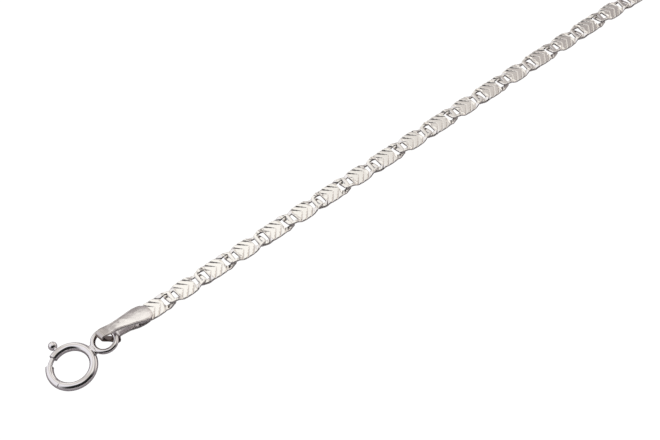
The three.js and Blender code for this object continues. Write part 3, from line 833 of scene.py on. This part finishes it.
def make_studio_light():
    """A white tent with greyer bands across the chain's way, a pale ground below the height of the
    table, a window, and the dark place where the viewer stands. A direction's x, y and z decide where
    in the tent it points. Each is laid over the one before by a share that is eased from 0 to 1
    between two heights or two cosines."""
    world = bpy.data.worlds.new("studio")
    bpy.context.scene.world = world
    world.use_nodes = True
    tree = world.node_tree
    tree.nodes.clear()
    direction = add(tree, "ShaderNodeTexCoord").outputs["Generated"]
    way = add(tree, "ShaderNodeSeparateXYZ", links={"Vector": direction})
    x, y, z = (way.outputs[i] for i in range(3))
    flat = add(tree, "ShaderNodeCombineXYZ", links={"X": x, "Y": y})
    flat = add(tree, "ShaderNodeVectorMath", {"operation": "NORMALIZE"}, links={0: flat.outputs[0]})

    ramp = add(tree, "ShaderNodeValToRGB")
    along_chain = add(tree, "ShaderNodeMapRange", inputs={"From Min": -1.0}, links={"Value": x})
    tree.links.new(along_chain.outputs["Result"], ramp.inputs["Fac"])
    stops = ramp.color_ramp.elements
    while len(stops) > 1:
        stops.remove(stops[-1])
    for number, (place, level, tint) in enumerate(ROOM):
        stop = stops[0] if number == 0 else stops.new((place + 1) / 2)
        stop.position = (place + 1) / 2
        stop.color = [level * c for c in linear(tint)[:3]] + [1.0]

    ground_tint, table_low, table_high = HORIZON
    window_place, window_low, window_high, window_level, window_tint = WINDOW
    near, beyond, foot, knee, head, above = VIEWER
    to_window = add(tree, "ShaderNodeVectorMath", {"operation": "DOT_PRODUCT"}, {1: window_place},
                    {0: direction})
    to_viewer = add(tree, "ShaderNodeVectorMath", {"operation": "DOT_PRODUCT"}, {1: (*TO_VIEWER, 0)},
                    {0: flat.outputs[0]})
    spans = [(z, table_low, table_high), (to_window.outputs["Value"], window_low, window_high),
             (to_viewer.outputs["Value"], beyond, near), (z, foot, knee), (z, above, head)]
    shares = [add(tree, "ShaderNodeMapRange", {"interpolation_type": "SMOOTHSTEP"},
                  {"From Min": low, "From Max": high}, {"Value": value}).outputs["Result"]
              for value, low, high in spans]
    over_table, in_window, in_front, over_knee, under_head = shares
    upright = add(tree, "ShaderNodeMath", {"operation": "MULTIPLY"}, links={0: over_knee, 1: under_head})
    in_viewer = add(tree, "ShaderNodeMath", {"operation": "MULTIPLY"},
                    links={0: in_front, 1: upright.outputs["Value"]})

    room = add(tree, "ShaderNodeMix", {"data_type": "RGBA"},
               {6: [c / LIGHT for c in linear(ground_tint)]}, {0: over_table, 7: ramp.outputs["Color"]})
    room = add(tree, "ShaderNodeMix", {"data_type": "RGBA"},
               {7: [window_level * c for c in linear(window_tint)]}, {0: in_window, 6: room.outputs[2]})
    room = add(tree, "ShaderNodeMix", {"data_type": "RGBA"}, {7: [VIEWER_LEVEL] * 3 + [1.0]},
               {0: in_viewer.outputs["Value"], 6: room.outputs[2]})

    lit = add(tree, "ShaderNodeBackground", inputs={"Strength": LIGHT}, links={"Color": room.outputs[2]})
    seen = add(tree, "ShaderNodeBackground", inputs={"Color": linear("#fdfdfd"), "Strength": 1.0})
    ray = add(tree, "ShaderNodeLightPath")
    mixed = add(tree, "ShaderNodeMixShader",
                links={0: ray.outputs["Is Camera Ray"], 1: lit.outputs[0], 2: seen.outputs[0]})
    add(tree, "ShaderNodeOutputWorld", links={"Surface": mixed.outputs[0]})


def make_camera(first_link):
    """The camera looks down on the clasp end from the front left, with a long lens. It is placed from
    the joint between the second and third links."""
    joint = first_link + np.array([CAMERA_JOINT * PITCH, 0, 0])
    joint[2] = CAMERA_JOINT_HEIGHT
    right, up, look = (Vector(v) for v in (CAMERA_RIGHT, CAMERA_UP, CAMERA_LOOK))
    turn = Matrix((right, up, -look)).transposed().to_4x4()
    turn.translation = Vector((joint + np.array(CAMERA_FROM_JOINT)) * MM)
    data = bpy.data.cameras.new("camera")
    data.sensor_width = 36
    data.lens = CAMERA_LENS
    data.clip_start, data.clip_end = 0.01, 10
    camera = bpy.data.objects.new("camera", data)
    bpy.context.scene.collection.objects.link(camera)
    camera.matrix_world = turn
    bpy.context.scene.camera = camera


# ---------------------------------------------------------------- the bracelet

places, along = chain_places()
first, last = places[0], places[-1]
make_camera(first[1])
make_floor()
make_studio_light()
bpy.context.scene.view_settings.view_transform = "Standard"

chain_metal, cap_metal, clasp_metal = bright_cut_silver(), satin_silver(), polished_silver()
make_links(places, along, chain_metal)
clasp_cap_place = within(first, (turn_z(CAP_YAW), (0, 0, 0)))
far_cap_place = within(last, (turn_z(pi + CAP_YAW), (0, 0, 0)))
make_cap("clasp_end_cap", clasp_cap_place, cap_metal)
make_cap("far_end_cap", far_cap_place, cap_metal)
make_clasp(first, clasp_metal)
make_jump_ring(far_cap_place, clasp_metal)
